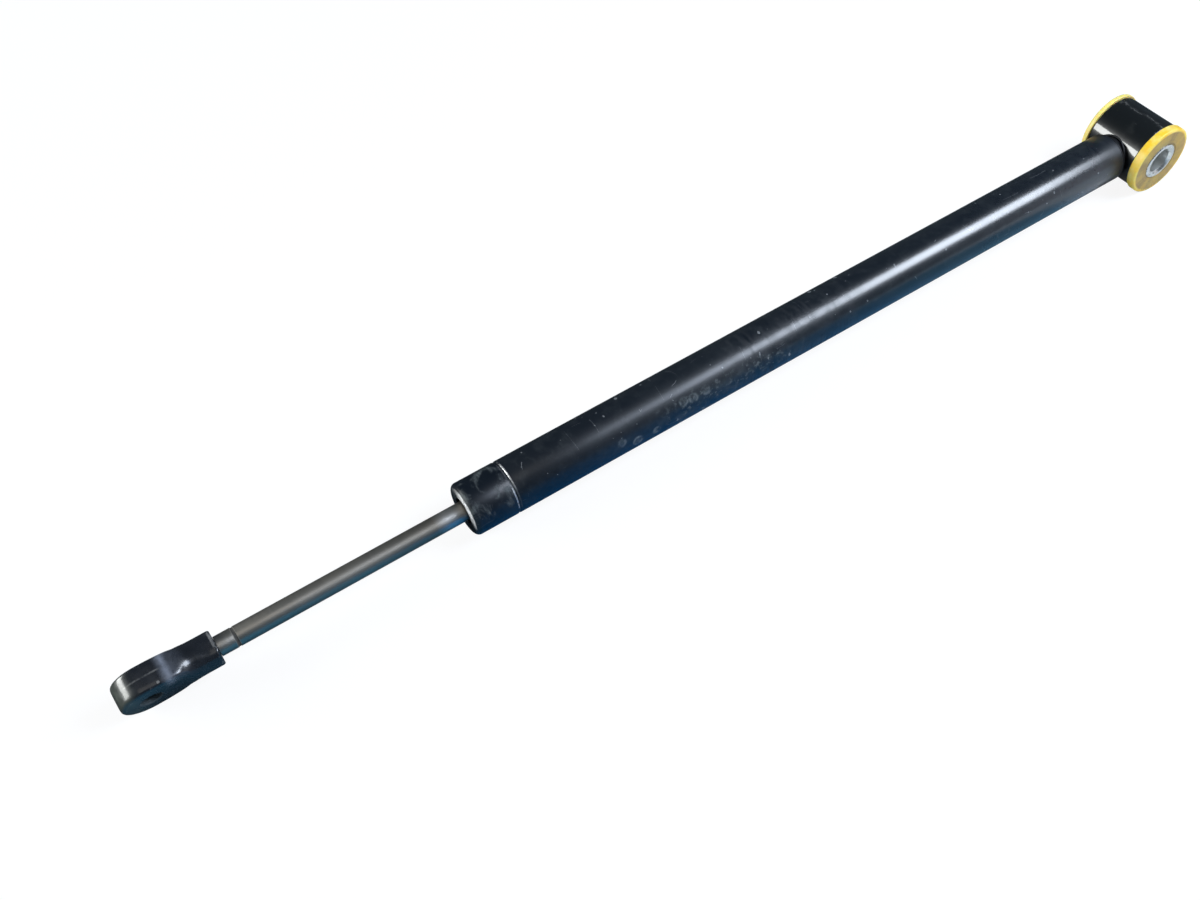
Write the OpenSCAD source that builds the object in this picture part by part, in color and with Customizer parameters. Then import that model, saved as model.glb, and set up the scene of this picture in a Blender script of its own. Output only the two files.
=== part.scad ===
// Gas strut stay: a closed pressure tube with a bushed cross eye on its base, and a piston rod
// with a flat eye on its tip. The strut axis is X, with the bushed eye at the origin and the rod
// on the -X side. The bore of the bushed eye is Y. The strut is drawn fully extended.

/* [Pressure tube] */
// Outer diameter of the tube
tube_d = 28; // [23:0.5:34]
// Wall of the tube
tube_wall = 1.5; // [1.2:0.1:2]
// Length of the tube over its two ends
tube_len = 433.5; // [260:0.5:620]
// Thickness of the lip rolled in over the rod end
lip_t = 1.5; // [1:0.1:2]
// Inner radius of the bend from the tube into the lip
lip_bend_r = 0.5; // [0.2:0.1:1]
// Height of the lip over the rim of the wiper
lip_cover = 0.4; // [0.2:0.1:1]
// Distance from the rod end to the rolled groove that locks the guide
lock_groove_from_end = 23.9; // [19:0.1:25]
// Depth of the rolled groove in the outside of the tube
lock_groove_depth = 0.5; // [0.3:0.05:0.7]
// Radius of the roller that forms the groove
lock_groove_r = 1.3; // [1:0.1:1.6]

/* [Piston rod] */
// Diameter of the piston rod
rod_d = 10; // [8:0.5:12]
// Travel of the rod, from fully closed to fully extended
stroke = 118; // [40:1:300]
// Rod left showing when the strut is fully closed
closed_show = 10.2; // [10.2:0.2:30]
// Distance from the flat eye to the turned mark groove
mark_groove_from_eye = 9; // [6:0.5:12]
// Width of the mark groove
mark_groove_w = 1.4; // [0.8:0.1:2]
// Depth of the mark groove
mark_groove_depth = 0.4; // [0.2:0.05:0.6]
// Step down on the radius from the rod to its threaded spigots
rod_shoulder = 1; // [0.8:0.1:1.5]
// Length of the spigot that screws into the flat eye
eye_spigot_len = 13; // [8:0.5:15]

/* [Bushed eye] */
// Outer diameter of the eye barrel
barrel_d = 40; // [33:0.5:50]
// Wall of the eye barrel
barrel_wall = 3.5; // [2.5:0.1:4]
// Length of the eye barrel left at each side of the weld
barrel_side = 1.9; // [1:0.1:10]
// Bare neck left between the two welds
neck_show = 0.2; // [0.2:0.1:6]
// Step down from the tube to the neck
neck_step = 1; // [0.6:0.1:1.4]
// Leg of the weld between the neck and the barrel
barrel_weld_leg = 1.4; // [1:0.1:3]
// Outer diameter of the steel sleeve
sleeve_d = 21.4; // [20:0.1:24]
// Bore of the steel sleeve
sleeve_bore_d = 14.5; // [10.5:0.5:16.5]
// Length of sleeve that stands past the thicker flange
sleeve_proud = 0.3; // [0.1:0.1:4]
// Chamfer at the two ends of the sleeve bore
sleeve_chamfer = 1.3; // [0.5:0.1:1.4]
// Height of the flanges of the bush over the barrel
flange_lip = 0.9; // [0.5:0.1:4]
// Thickness of the bush flange on the -Y side
near_flange_t = 5; // [3:0.1:5]
// Thickness of the bush flange on the +Y side
far_flange_t = 3; // [3:0.1:5]
// Rounding of the outer edge of each flange
flange_edge_r = 1.2; // [0.5:0.1:1.4]

/* [Flat eye] */
// Diameter of the flat eye
eye_d = 27; // [22:0.5:32]
// Thickness of the flat eye along its bore
eye_t = 13.4; // [10:0.1:15]
// Bore of the flat eye
eye_bore_d = 10.2; // [6.2:0.1:12.2]
// Diameter of the round neck of the fitting
fitting_neck_d = 16.6; // [15:0.1:18]
// Length of the neck from the rod to the taper of the flat eye
neck_len = 10.5; // [8:0.5:20]
// Length of the taper from the neck to the centre of the bore
taper_len = 24; // [22:0.5:40]
// Length of the flats past the centre of the bore
flat_reach = 14; // [13:0.5:16]
// Radius at which the flats run out into the neck
run_out_r = 12; // [8:1:16]
// Angle by which the flat eye is turned about the strut axis from the bushed eye
eye_turn = 17.5; // [0:2.5:90]

/* [Guide] */
// Length of the rod guide
guide_len = 28.4; // [28:0.1:32]
// Wall of the plain bush in the guide
guide_bush_wall = 1.4; // [1:0.1:2]
// Length of the plain bush in the guide
guide_bush_len = 12; // [10:0.1:12]
// Wall of the guide around the wiper
wiper_guide_wall = 3.4; // [2.5:0.1:4]
// Length of the wiper ring
wiper_len = 4.6; // [3:0.1:4.8]
// Wall of the guide around the rod seal
seal_guide_wall = 3.1; // [2.5:0.1:4]
// Length of the rod seal
seal_len = 5.4; // [4:0.1:5.6]
// Thickness of the washer behind the seal
seal_washer_t = 1.2; // [0.8:0.1:1.4]
// Thickness of the snap ring in the guide
snap_ring_t = 1.1; // [0.8:0.1:1.2]
// Section diameter of the ring that seals the guide in the tube
o_ring_d = 2; // [1.5:0.1:2.4]

/* [Piston] */
// Length of the piston
piston_len = 12; // [8:0.5:16]
// Width of the piston ring
piston_ring_w = 3; // [2:0.1:4]
// Depth of the piston ring
piston_ring_depth = 2.2; // [1.5:0.1:3]
// Number of gas ports through the piston
port_count = 6; // [3:1:8]
// Diameter of each gas port
port_d = 1.8; // [1:0.1:2]
// Thickness of the buffer that stops the rod at full extension
buffer_t = 8; // [4:0.5:12]
// Thickness of the washer in front of the piston
front_washer_t = 2; // [1.5:0.1:3]
// Thickness of the valve disc on the piston
valve_disc_t = 0.5; // [0.3:0.1:0.8]
// Thickness of the washer under the nut
rear_washer_t = 1.5; // [1:0.1:2]
// Width of the piston nut across its flats
nut_af = 13; // [13:0.5:14]
// Thickness of the piston nut
nut_t = 5; // [4:0.1:6.5]

/* [Base plug] */
// Length of the plug inside the tube
plug_len = 16; // [10:0.5:25]

/* [Fits] */
// Running clearance on the radius between the rod and its bush
rod_fit = 0.06; // [0.03:0.01:0.08]
// Running clearance on the radius between the sleeve and the bush
sleeve_fit = 0.08; // [0.03:0.01:0.1]
// Running clearance on the radius between the piston ring and the tube
ring_fit = 0.05; // [0.03:0.01:0.1]
// Clearance on the radius between the piston and the tube
piston_clearance = 0.3; // [0.3:0.05:0.5]
// Gap between pieces that are pressed, screwed or welded together
seat_gap = 0.1; // [0.06:0.01:0.12]
// Gap between the buffer and the guide at full extension
stop_gap = 0.4; // [0.3:0.1:1]

/* [Hidden] */
$fn = 96;
overlap = 1;

tube_r = tube_d / 2;
bore_r = tube_r - tube_wall;
rod_r = rod_d / 2;
spigot_r = rod_r - rod_shoulder;
lip_corner_r = lip_bend_r + lip_t;

// The bushed eye, with the weld around its neck
neck_r = tube_r - neck_step;
weld_steps = 60;
weld_arc = [0, 22.5, 45, 67.5, 90];
weld_lift = 2 * seat_gap;
weld_neck_r = neck_r + seat_gap;
barrel_r = barrel_d / 2;
barrel_bore_r = barrel_r - barrel_wall;
barrel_half = weld_neck_r + barrel_weld_leg + barrel_side;
barrel_chamfer = 0.5;
bush_split = 0.3;
flange_gap = 0.1;
flange_r = barrel_r + flange_lip;
flange_y = barrel_half + flange_gap;
sleeve_r = sleeve_d / 2;
sleeve_half = flange_y + max(near_flange_t, far_flange_t) + sleeve_proud;
sleeve_edge = 0.4;

// The flat eye, measured from the rod
eye_r = eye_d / 2;
taper_half = fitting_neck_d / 2 + 1.5;
flare_r = 10;
fitting_chamfer = 1.2;
rim_edge = 0.8;
spigot_end_gap = 1;

// Stations along the strut axis, from the bushed eye to the tip of the flat eye
tube_base_x = -(barrel_r + weld_lift + barrel_weld_leg + neck_show + neck_step);
tube_mouth_x = tube_base_x - tube_len;
fitting_x = tube_mouth_x - stroke - closed_show;
taper_x = fitting_x - neck_len;
eye_x = taper_x - taper_len;
run_out_x = eye_x + flat_reach;
tip_x = eye_x - eye_r;
lock_groove_x = tube_mouth_x + lock_groove_from_end;
mark_groove_x = fitting_x + mark_groove_from_eye;

// The guide stack, counted inwards from the rod end of the tube
guide_r = bore_r - seat_gap;
guide_x = tube_mouth_x + lip_t + seat_gap;
guide_end_x = guide_x + guide_len;
guide_chamfer = lip_bend_r + seat_gap;
wiper_r = guide_r - wiper_guide_wall - seat_gap;
lip_r = wiper_r - lip_cover;
wiper_x = guide_x + seat_gap;
wiper_pocket_x = wiper_x + wiper_len + seat_gap;
guide_bush_r = rod_r + rod_fit + guide_bush_wall;
guide_bush_x = wiper_pocket_x + seat_gap;
bush_seat_x = guide_bush_x + guide_bush_len + seat_gap;
snap_ring_from_end = 0.5;
snap_groove_extra = 0.8;
snap_ring_x = guide_end_x - snap_ring_from_end - snap_ring_t;
seal_washer_x = snap_ring_x - seat_gap - seal_washer_t;
seal_x = seal_washer_x - seat_gap - seal_len;
seal_pocket_x = seal_x - seat_gap;
seal_pocket_r = guide_r - seal_guide_wall;
seal_r = seal_pocket_r - seat_gap;
snap_ring_r = seal_pocket_r + snap_groove_extra - seat_gap;
snap_ring_wall = 1.5;
snap_ring_mouth = 4;
loose_r = rod_r + 0.4;
o_ring_r = o_ring_d / 2;
o_ring_x = (guide_bush_x + bush_seat_x) / 2;
o_ring_mid_r = bore_r - seat_gap - o_ring_r;
o_ring_groove_r = o_ring_mid_r - o_ring_r - seat_gap;
o_ring_groove_w = o_ring_d * 1.3;
lock_bead_r = lock_groove_r + tube_wall;
lock_roller_r = tube_r - lock_groove_depth + lock_groove_r;

// The piston stack at full extension, counted inwards from the guide
piston_r = bore_r - piston_clearance;
buffer_r = piston_r - 0.9;
buffer_chamfer = 1;
front_washer_r = piston_r - 1.2;
valve_disc_r = front_washer_r - 0.8;
rear_washer_r = spigot_r + 1.9;
buffer_x = guide_end_x + stop_gap;
front_washer_x = buffer_x + buffer_t + seat_gap;
valve_disc_x = front_washer_x + front_washer_t + seat_gap;
piston_x = valve_disc_x + valve_disc_t + seat_gap;
rear_washer_x = piston_x + piston_len + seat_gap;
nut_x = rear_washer_x + rear_washer_t + seat_gap;
piston_spigot_end_x = nut_x + nut_t + 1.5;
ring_x = piston_x + (piston_len - piston_ring_w) / 2;
ring_inner_r = bore_r - ring_fit - piston_ring_depth;
ring_groove_r = ring_inner_r - 2 * seat_gap;
port_circle_r = (rear_washer_r + ring_groove_r) / 2;
spigot_bore_r = spigot_r + seat_gap;

// Spins a profile of (radius, station) about the strut axis
module turned() {
    rotate([0, 90, 0]) rotate_extrude() children();
}

// Profile of a plain ring from one station to a later one
module band(from_x, to_x, inner_r, outer_r) {
    translate([inner_r, from_x]) square([outer_r - inner_r, to_x - from_x]);
}

// Spins a profile of (radius, station) about the bore of the bushed eye
module turned_y() {
    rotate([-90, 0, 0]) rotate_extrude() children();
}

// Square on its corner that takes a 45 degree chamfer off a profile corner
module chamfer_cut(r, x, leg) {
    polygon([[r - leg, x], [r, x + leg], [r + leg, x], [r, x - leg]]);
}

// Drawn steel tube with a rolled lock groove and a lip rolled in over the guide
module pressure_tube() {
    color("#15161a") turned() {
        difference() {
            union() {
                band(tube_mouth_x + lip_corner_r, tube_base_x, bore_r, tube_r);
                band(tube_mouth_x, tube_mouth_x + lip_t, lip_r, tube_r - lip_corner_r);
                rolled_corner();
            }
            translate([lock_roller_r, lock_groove_x]) circle(lock_groove_r);
        }
        lock_bead();
    }
}

// Quarter ring between the tube wall and the lip
module rolled_corner() {
    intersection() {
        difference() {
            translate([tube_r - lip_corner_r, tube_mouth_x + lip_corner_r]) circle(lip_corner_r);
            translate([tube_r - lip_corner_r, tube_mouth_x + lip_corner_r])
                circle(lip_corner_r - lip_t);
        }
        band(tube_mouth_x, tube_mouth_x + lip_corner_r, tube_r - lip_corner_r, tube_r);
    }
}

// Bead that the rolled groove raises on the inside of the tube
module lock_bead() {
    difference() {
        translate([lock_roller_r, lock_groove_x]) circle(lock_bead_r);
        translate([lock_roller_r, lock_groove_x]) circle(lock_groove_r);
        band(lock_groove_x - 2 * lock_bead_r, lock_groove_x + 2 * lock_bead_r,
             bore_r + tube_wall / 2, tube_r + 2 * lock_bead_r);
    }
}

// Turned plug that closes the tube, with the neck that carries the eye barrel
module base_plug() {
    color("#15161a") difference() {
        turned() {
            band(tube_base_x - plug_len, tube_base_x + seat_gap, 0, bore_r - seat_gap);
            band(tube_base_x + seat_gap, 0, 0, neck_r);
        }
        turned_y() band(-tube_d, tube_d, 0, barrel_r + seat_gap);
    }
}

// Weld that fills the step between the tube and the neck
module base_weld() {
    color("#15161a") turned() intersection() {
        translate([weld_neck_r, tube_base_x + seat_gap]) circle(neck_step - seat_gap);
        band(tube_base_x + seat_gap, tube_base_x + neck_step, weld_neck_r, tube_r);
    }
}

// Point on the saddle: on the barrel, at this radius and angle from the strut axis, and lifted
function saddle(r, a, lift) =
    [-sqrt(pow(barrel_r + lift, 2) - pow(r * sin(a), 2)), r * cos(a), r * sin(a)];

// Hollow of the weld, from the barrel in to the neck
function weld_point(a, t) =
    let (out = weld_neck_r + barrel_weld_leg * (1 - sin(t)))
    let (up = barrel_weld_leg * (1 - cos(t)))
    saddle(out, a, weld_lift) - [up, 0, 0];

// Section of the weld: its hollow, closed by the corner between the neck and the barrel
function weld_section(a) = concat(
    [for (t = weld_arc) weld_point(a, t)],
    [saddle(weld_neck_r, a, weld_lift)]
);

// Weld that follows the saddle between the neck and the barrel
module barrel_weld() {
    sides = len(weld_arc) + 1;
    points = [for (i = [0 : weld_steps - 1]) each weld_section(360 * i / weld_steps)];
    faces = [
        for (i = [0 : weld_steps - 1], k = [0 : sides - 1])
            let (next = (i + 1) % weld_steps, turn = (k + 1) % sides)
            [i * sides + k, i * sides + turn, next * sides + turn, next * sides + k]
    ];
    color("#15161a") polyhedron(points, faces);
}

// Cross tube that holds the bush
module eye_barrel() {
    color("#15161a") turned_y() difference() {
        band(-barrel_half, barrel_half, barrel_bore_r, barrel_r);
        for (end = [-barrel_half, barrel_half]) chamfer_cut(barrel_r, end, barrel_chamfer);
    }
}

// Flanged half of the bush, drawn on the +Y side
module bush_half(flange_t) {
    bore = sleeve_r + sleeve_fit;
    face_y = flange_y + flange_t;
    turned_y() {
        band(bush_split, flange_y + flange_t / 2, bore, barrel_bore_r - seat_gap);
        band(flange_y, face_y - flange_edge_r, bore, flange_r);
        band(flange_y, face_y, bore, flange_r - flange_edge_r);
        translate([flange_r - flange_edge_r, face_y - flange_edge_r]) circle(flange_edge_r);
    }
}

// Bush half on the -Y side
module bush_near() {
    color("#e8b52c") mirror([0, 1, 0]) bush_half(near_flange_t);
}

// Bush half on the +Y side
module bush_far() {
    color("#e8b52c") bush_half(far_flange_t);
}

// Plated steel sleeve that turns in the bush and takes the bolt
module eye_sleeve() {
    bore = sleeve_bore_d / 2;
    color("#aab4bd") turned_y() difference() {
        band(-sleeve_half, sleeve_half, bore, sleeve_r);
        for (end = [-sleeve_half, sleeve_half]) {
            chamfer_cut(bore, end, sleeve_chamfer);
            chamfer_cut(sleeve_r, end, sleeve_edge);
        }
    }
}

// Guide body with pockets for the wiper, the plain bush and the seal
module rod_guide() {
    color("#8f9296") turned() difference() {
        band(guide_x, guide_end_x, loose_r, guide_r);
        chamfer_cut(guide_r, guide_x, guide_chamfer);
        band(guide_x - overlap, wiper_pocket_x, 0, wiper_r + seat_gap);
        band(wiper_pocket_x - overlap, bush_seat_x, 0, guide_bush_r + seat_gap);
        band(seal_pocket_x, guide_end_x + overlap, 0, seal_pocket_r);
        band(snap_ring_x - seat_gap, snap_ring_x + snap_ring_t + seat_gap, 0,
             snap_ring_r + seat_gap);
        band(o_ring_x - o_ring_groove_w / 2, o_ring_x + o_ring_groove_w / 2, o_ring_groove_r,
             guide_r + overlap);
        translate([lock_roller_r, lock_groove_x]) circle(lock_bead_r + seat_gap);
    }
}

// Plain bush that carries the rod
module guide_bush() {
    color("#a5713c") turned()
        band(guide_bush_x, guide_bush_x + guide_bush_len, rod_r + rod_fit, guide_bush_r);
}

// Lip seal around the rod, hollow on its pressure side
module rod_seal() {
    seal_height = seal_r - rod_r;
    color("#26262a") turned() difference() {
        band(seal_x, seal_x + seal_len, rod_r + rod_fit, seal_r);
        translate([rod_r + seal_height / 2, seal_x + seal_len]) circle(seal_height / 5);
    }
}

// Washer that backs the seal
module seal_washer() {
    color("#9a9ea3") turned()
        band(seal_washer_x, seal_washer_x + seal_washer_t, loose_r, seal_r);
}

// Split ring that holds the seal in the guide
module seal_snap_ring() {
    color("#5b5e63") difference() {
        turned() band(snap_ring_x, snap_ring_x + snap_ring_t, snap_ring_r - snap_ring_wall,
                      snap_ring_r);
        translate([snap_ring_x - overlap, -snap_ring_mouth / 2, 0])
            cube([snap_ring_t + 2 * overlap, snap_ring_mouth, snap_ring_r + overlap]);
    }
}

// Round ring that seals the guide in the tube
module guide_o_ring() {
    color("#1d1d20") turned() translate([o_ring_mid_r, o_ring_x]) circle(o_ring_r);
}

// Wiper ring with a lip that leans on the rod
module rod_wiper() {
    wiper_height = wiper_r - rod_r;
    color("#2b2b30") turned() difference() {
        band(wiper_x, wiper_x + wiper_len, rod_r + rod_fit, wiper_r);
        translate([rod_r + wiper_height / 2, wiper_x]) circle(wiper_height / 4);
    }
}

// Ground rod with a threaded spigot at each end and a turned mark groove
module piston_rod() {
    color("#a39a90") turned() difference() {
        union() {
            band(fitting_x + seat_gap, front_washer_x - seat_gap, 0, rod_r);
            band(fitting_x - eye_spigot_len, piston_spigot_end_x, 0, spigot_r);
        }
        band(mark_groove_x - mark_groove_w / 2, mark_groove_x + mark_groove_w / 2,
             rod_r - mark_groove_depth, rod_r + overlap);
    }
}

// Block through the fitting with this outline along the bore of the flat eye
module along_bore() {
    translate([0, eye_d, 0]) rotate([90, 0, 0]) linear_extrude(2 * eye_d) children();
}

// Shape of the flat eye along its bore: a round end that tapers straight to the neck
module eye_side() {
    reach = sqrt(pow(taper_len, 2) + pow(taper_half, 2));
    touch = atan(taper_half / taper_len) + acos(eye_r / reach);
    touch_x = eye_x + eye_r * cos(touch);
    touch_y = eye_r * sin(touch);
    along_bore() translate([eye_x, 0]) circle(eye_r);
    along_bore() polygon([
        [eye_x, 0],
        [touch_x, touch_y], [taper_x, taper_half], [fitting_x, taper_half],
        [fitting_x, -taper_half], [taper_x, -taper_half], [touch_x, -touch_y]
    ]);
}

// Outline across the bore: two flats that run out to the width of the neck
module flats_outline() {
    half_t = eye_t / 2;
    difference() {
        translate([tip_x - overlap, -taper_half])
            square([fitting_x - tip_x + overlap, 2 * taper_half]);
        for (side = [-1, 1]) {
            translate([run_out_x, side * (half_t + run_out_r)]) circle(run_out_r);
            translate([tip_x - 2 * overlap, side * (half_t + run_out_r) - run_out_r])
                square([run_out_x - tip_x + 2 * overlap, 2 * run_out_r]);
        }
    }
}

// Turned envelope: the round neck, flaring out to clear the flat eye
module neck_envelope() {
    neck_half = fitting_neck_d / 2;
    turned() difference() {
        band(tip_x - overlap, fitting_x, 0, neck_half + flare_r);
        translate([neck_half + flare_r, run_out_x + flare_r]) circle(flare_r);
        band(run_out_x + flare_r, fitting_x + overlap, neck_half, neck_half + 2 * flare_r);
        chamfer_cut(neck_half, fitting_x, fitting_chamfer);
    }
}

// Forged eye with a round neck, screwed on the rod
module rod_eye() {
    color("#17181c") rotate([eye_turn, 0, 0]) difference() {
        intersection() {
            eye_side();
            translate([0, 0, -eye_d]) linear_extrude(2 * eye_d) flats_outline();
            neck_envelope();
        }
        rim_bevel(rim_edge);
        turned() band(fitting_x - eye_spigot_len - spigot_end_gap, fitting_x + overlap, 0,
                      spigot_bore_r);
        translate([eye_x, 0, 0]) rotate([90, 0, 0])
            cylinder(d = eye_bore_d, h = eye_t + 2 * overlap, center = true);
    }
}

// Cuts that bevel the two edges of the round end
module rim_bevel(edge) {
    half_t = eye_t / 2;
    for (side = [-1, 1]) translate([eye_x, 0, 0]) rotate([90 * side, 0, 0]) difference() {
        translate([-eye_r - overlap, -eye_r - overlap, half_t - edge])
            cube([eye_r + overlap, eye_d + 2 * overlap, edge + overlap]);
        translate([0, 0, half_t - edge])
            cylinder(r1 = eye_r, r2 = eye_r - edge - overlap, h = edge + overlap);
    }
}

// Buffer that stops the rod against the guide
module extension_buffer() {
    color("#3a3a3e") turned() difference() {
        band(buffer_x, buffer_x + buffer_t, rod_r + seat_gap, buffer_r);
        chamfer_cut(buffer_r, buffer_x, buffer_chamfer);
    }
}

// Washer that seats the piston on the shoulder of the rod
module front_washer() {
    color("#9a9ea3") turned()
        band(front_washer_x, front_washer_x + front_washer_t, spigot_bore_r, front_washer_r);
}

// Thin disc that covers the gas ports when the rod moves out
module valve_disc() {
    color("#c2c5c8") turned()
        band(valve_disc_x, valve_disc_x + valve_disc_t, spigot_bore_r, valve_disc_r);
}

// Piston with a ring groove and a circle of gas ports
module piston() {
    color("#7d8086") difference() {
        turned() difference() {
            band(piston_x, piston_x + piston_len, spigot_bore_r, piston_r);
            band(ring_x - seat_gap, ring_x + piston_ring_w + seat_gap, ring_groove_r,
                 bore_r + overlap);
        }
        for (i = [0 : port_count - 1]) rotate([360 / port_count * i, 0, 0])
            translate([piston_x - overlap, 0, port_circle_r]) rotate([0, 90, 0])
                cylinder(d = port_d, h = piston_len + 2 * overlap);
    }
}

// Ring that seals the piston in the tube
module piston_ring() {
    color("#d8d5cc") turned()
        band(ring_x, ring_x + piston_ring_w, ring_inner_r, bore_r - ring_fit);
}

// Washer under the nut
module rear_washer() {
    color("#9a9ea3") turned()
        band(rear_washer_x, rear_washer_x + rear_washer_t, spigot_bore_r, rear_washer_r);
}

// Hexagon nut that holds the piston on the rod
module piston_nut() {
    color("#b0b3b6") rotate([0, 90, 0]) translate([0, 0, nut_x]) difference() {
        cylinder(r = nut_af / 2 / cos(30), h = nut_t, $fn = 6);
        translate([0, 0, -overlap]) cylinder(r = spigot_bore_r, h = nut_t + 2 * overlap);
    }
}

pressure_tube();
base_plug();
base_weld();
barrel_weld();
eye_barrel();
bush_near();
bush_far();
eye_sleeve();
rod_guide();
guide_bush();
rod_seal();
seal_washer();
seal_snap_ring();
guide_o_ring();
rod_wiper();
piston_rod();
rod_eye();
extension_buffer();
front_washer();
valve_disc();
piston();
piston_ring();
rear_washer();
piston_nut();
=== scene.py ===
import math

import bpy
from mathutils import Matrix, Vector


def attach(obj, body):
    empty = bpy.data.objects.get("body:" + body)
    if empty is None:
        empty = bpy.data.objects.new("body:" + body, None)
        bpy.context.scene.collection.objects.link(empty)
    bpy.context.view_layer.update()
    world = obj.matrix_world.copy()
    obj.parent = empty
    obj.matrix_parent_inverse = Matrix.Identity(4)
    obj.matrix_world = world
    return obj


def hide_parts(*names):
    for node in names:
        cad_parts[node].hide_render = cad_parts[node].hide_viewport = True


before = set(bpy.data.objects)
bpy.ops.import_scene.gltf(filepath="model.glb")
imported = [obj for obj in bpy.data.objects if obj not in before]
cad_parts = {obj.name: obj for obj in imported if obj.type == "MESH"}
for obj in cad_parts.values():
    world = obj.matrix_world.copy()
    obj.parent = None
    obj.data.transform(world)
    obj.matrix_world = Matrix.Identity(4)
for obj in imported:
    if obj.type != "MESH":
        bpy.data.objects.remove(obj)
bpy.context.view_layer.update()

mm = 0.001  # outlines are written in millimetres, and finishes and lamps in metres

# Stations on the strut axis, in millimetres from the bushed eye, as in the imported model
strut = {
    "tubeBase": -22.8,
    "tubeMouth": -456.3,
    "lockGroove": -432.4,
    "fittingEnd": -584.5,
    "flatEye": -619.0,
    "tip": -632.5,
    "markGroove": -575.5,
    "eyeTurn": 17.5,  # degrees between the two eyes
}


def clearSelection():
    bpy.ops.object.select_all(action="DESELECT")


def arc(centre, radius, start, end, steps=6):  # points of an arc, angles in degrees
    points = []
    for i in range(steps + 1):
        turn = math.radians(start + (end - start) * i / steps)
        points.append((centre[0] + radius * math.cos(turn), centre[1] + radius * math.sin(turn)))
    return points


def walkOutline(name, places):  # a new piece with one closed wire through these places
    clearSelection()
    bpy.ops.mesh.primitive_plane_add(size=0.001, location=(0, 0, 0))
    piece = bpy.context.object
    piece.name = name
    bpy.ops.object.mode_set(mode="EDIT")
    bpy.ops.mesh.merge(type="CENTER")
    bpy.ops.transform.translate(value=places[0])
    for last, place in zip(places, places[1:] + places[:1]):
        step = tuple(b - a for a, b in zip(last, place))
        bpy.ops.mesh.extrude_region_move(TRANSFORM_OT_translate={"value": step})
    bpy.ops.mesh.select_all(action="SELECT")
    bpy.ops.mesh.remove_doubles(threshold=1e-7)
    return piece


def finishMesh(piece, sharpest=35):  # merged, faces outward, smooth up to this angle
    bpy.ops.mesh.select_all(action="SELECT")
    bpy.ops.mesh.remove_doubles(threshold=1e-7)
    bpy.ops.mesh.normals_make_consistent(inside=False)
    bpy.ops.object.mode_set(mode="OBJECT")
    bpy.ops.object.shade_smooth_by_angle(angle=math.radians(sharpest))
    return piece


def turnPiece(name, outline, axis="X", steps=128, sharpest=35):  # outline of (along, radius), mm
    if axis == "X":
        places = [(a * mm, 0, r * mm) for a, r in outline]
    else:
        places = [(r * mm, a * mm, 0) for a, r in outline]
    piece = walkOutline(name, places)
    spinAxis = (1, 0, 0) if axis == "X" else (0, 1, 0)
    bpy.ops.mesh.spin(steps=steps, angle=2 * math.pi, center=(0, 0, 0), axis=spinAxis)
    return finishMesh(piece, sharpest)


def raisePlate(name, places, lift):  # an outline filled and extruded by this vector
    piece = walkOutline(name, places)
    bpy.ops.mesh.edge_face_add()
    bpy.ops.mesh.extrude_region_move(TRANSFORM_OT_translate={"value": lift})
    return finishMesh(piece)


def useModifier(piece, kind, **settings):
    clearSelection()
    piece.select_set(True)
    bpy.context.view_layer.objects.active = piece
    modifier = piece.modifiers.new(kind.title(), kind)
    for setting, value in settings.items():
        setattr(modifier, setting, value)
    bpy.ops.object.modifier_apply(modifier=modifier.name)


def cutWith(piece, tool, operation="DIFFERENCE"):
    useModifier(piece, "BOOLEAN", object=tool, operation=operation, solver="EXACT")
    bpy.data.objects.remove(tool)


def dress(piece, material, body, slot, *nodes):
    piece.data.materials.clear()
    piece.data.materials.append(material)
    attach(piece, body)
    if nodes:
        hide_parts(*nodes)


def addNode(tree, kind, feeds=None, **settings):
    made = tree.nodes.new("ShaderNode" + kind)
    for setting, value in settings.items():
        setattr(made, setting, value)
    for socket, feed in (feeds or {}).items():
        if isinstance(feed, bpy.types.NodeSocket):
            tree.links.new(feed, made.inputs[socket])
        else:
            made.inputs[socket].default_value = feed
    return made


def mixColour(tree, factor, first, second):
    return addNode(tree, "Mix", {0: factor, 6: first, 7: second}, data_type="RGBA").outputs[2]


def calculate(tree, operation, first, second=0.0, clamp=False):
    feeds = {0: first, 1: second}
    return addNode(tree, "Math", feeds, operation=operation, use_clamp=clamp).outputs[0]


def combine(tree, operation, values):
    made = values[0]
    for value in values[1:]:
        made = calculate(tree, operation, made, value)
    return made


def times(tree, *values):
    return combine(tree, "MULTIPLY", values)


def plus(tree, *values):
    return combine(tree, "ADD", values)


def larger(tree, *values):
    return combine(tree, "MAXIMUM", values)


def minus(tree, first, second):
    return calculate(tree, "SUBTRACT", first, second)


def apart(tree, first, second):
    return calculate(tree, "ABSOLUTE", minus(tree, first, second))


def remap(tree, value, low, high, start=0.0, end=1.0):
    feeds = {0: value, 1: low, 2: high, 3: start, 4: end}
    return addNode(tree, "MapRange", feeds).outputs[0]


def nearTo(tree, value, centre, solid, faded, inside=1.0, outside=0.0):  # a soft band
    return remap(tree, apart(tree, value, centre), solid, faded, inside, outside)


def axesOf(tree, vector):
    return addNode(tree, "SeparateXYZ", {0: vector}).outputs


def lengthOf(tree, vector):
    return addNode(tree, "VectorMath", {0: vector}, operation="LENGTH").outputs["Value"]


def stretched(tree, vector, scale, turn=(0, 0, 0)):
    return addNode(tree, "Mapping", {"Vector": vector, "Rotation": turn, "Scale": scale}).outputs[0]


def noiseOf(tree, vector, scale, detail=3.0, roughness=0.5, distortion=0.0):
    feeds = {"Vector": vector, "Scale": scale, "Detail": detail, "Roughness": roughness,
             "Distortion": distortion}
    return addNode(tree, "TexNoise", feeds).outputs[0]


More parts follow.
